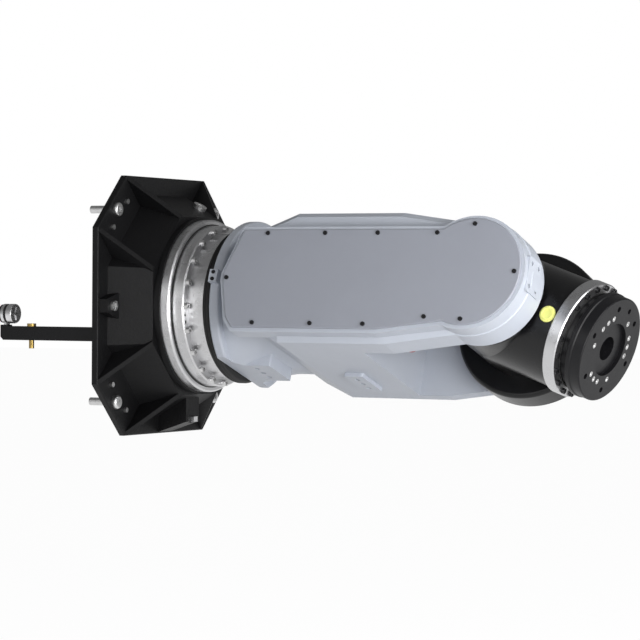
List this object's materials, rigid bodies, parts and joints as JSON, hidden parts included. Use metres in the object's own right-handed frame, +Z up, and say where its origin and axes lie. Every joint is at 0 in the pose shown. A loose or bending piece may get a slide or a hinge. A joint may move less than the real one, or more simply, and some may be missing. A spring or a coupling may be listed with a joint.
{
  "type": "articulated robot wrist",
  "caption": "Three-axis robot wrist with a ribbed mounting plate, rolling arm housing, belt-driven bend joint and turning tool flange.",
  "frame": {"origin": "centre of the mounting plate's back face", "axes": "+X along the roll axis from the plate to the tool, +Z up"},
  "size_m": [0.9812, 0.4, 0.4],
  "materials": {
    "black_casting": "satin black coated casting",
    "black_coat": "black anodised or coated steel",
    "black_gloss": "gloss black paint",
    "motor_black": "black paint",
    "grey_paint": "pale blue grey paint",
    "cover_paint": "blue grey paint",
    "zinc_bolt": "zinc plated",
    "bright_steel": "bright",
    "ground_steel": "ground",
    "dark_steel": "black oxide",
    "black_screw": "black oxide",
    "aluminium": "machined",
    "brass": "dull",
    "rubber_black": "matt",
    "red_buffer": "red buffer",
    "yellow_plug": "pale yellow plug"
  },
  "bodies": {
    "base": {"adapter_flange": "black_casting", "adapter_bolts": "zinc_bolt", "adapter_dowels": "dark_steel", "side_boss_bolts": "zinc_bolt", "stop_block": "bright_steel", "oil_plug": "dark_steel", "roll_gear_ring": "ground_steel", "roll_motor": "motor_black", "cable_bar": "black_coat", "bar_bolt": "brass", "clamp_disc": "bright_steel", "clamp_insert": "bright_steel", "clamp_rings": "rubber_black", "clamp_band": "bright_steel"},
    "arm": {"output_hub": "ground_steel", "hub_screws": "zinc_bolt", "shaft_seal": "rubber_black", "arm_housing": "grey_paint", "belt_cover": "cover_paint", "cover_screws": "black_screw", "zero_block": "grey_paint", "zero_screws": "black_screw", "timing_belt": "rubber_black", "bend_motor": "motor_black", "front_bearing": "ground_steel", "bend_gear": "ground_steel", "rear_cap": "grey_paint", "rear_cap_screws": "black_screw", "end_buffer": "red_buffer"},
    "drive": {"drive_pulley": "aluminium", "drive_shaft": "ground_steel"},
    "wrist": {"wrist_casting": "black_gloss", "pivot_shaft": "ground_steel", "driven_pulley": "aluminium", "filler_plug": "yellow_plug", "twist_ring": "ground_steel", "twist_screws": "black_screw", "twist_motor": "motor_black"},
    "tool": {"tool_hub": "black_coat", "tool_flange": "black_coat", "flange_screws": "zinc_bolt"}
  },
  "joints": [
    {"name": "roll", "type": "hinge", "parent": "base", "child": "arm", "pos_m": [0.1, 0, 0], "axis": [1, 0, 0], "range_deg": [-180, 180]},
    {"name": "bend", "type": "hinge", "parent": "arm", "child": "wrist", "pos_m": [0.603, 0, 0], "axis": [0, -0.9415, 0.3371], "range_deg": [-84, 125]},
    {"name": "belt_drive", "type": "hinge", "parent": "arm", "child": "drive", "pos_m": [0.33, -0.11109, 0.03978], "axis": [0, -0.9415, 0.3371], "range_deg": [-168, 250]},
    {"name": "twist", "type": "hinge", "parent": "wrist", "child": "tool", "pos_m": [0.76864, -0.02054, -0.05738], "axis": [0.9385, -0.1164, -0.3251], "range_deg": [-360, 360]}
  ],
  "couplings": [
    {"joint": "belt_drive", "follows": "bend", "ratio": 2}
  ]
}
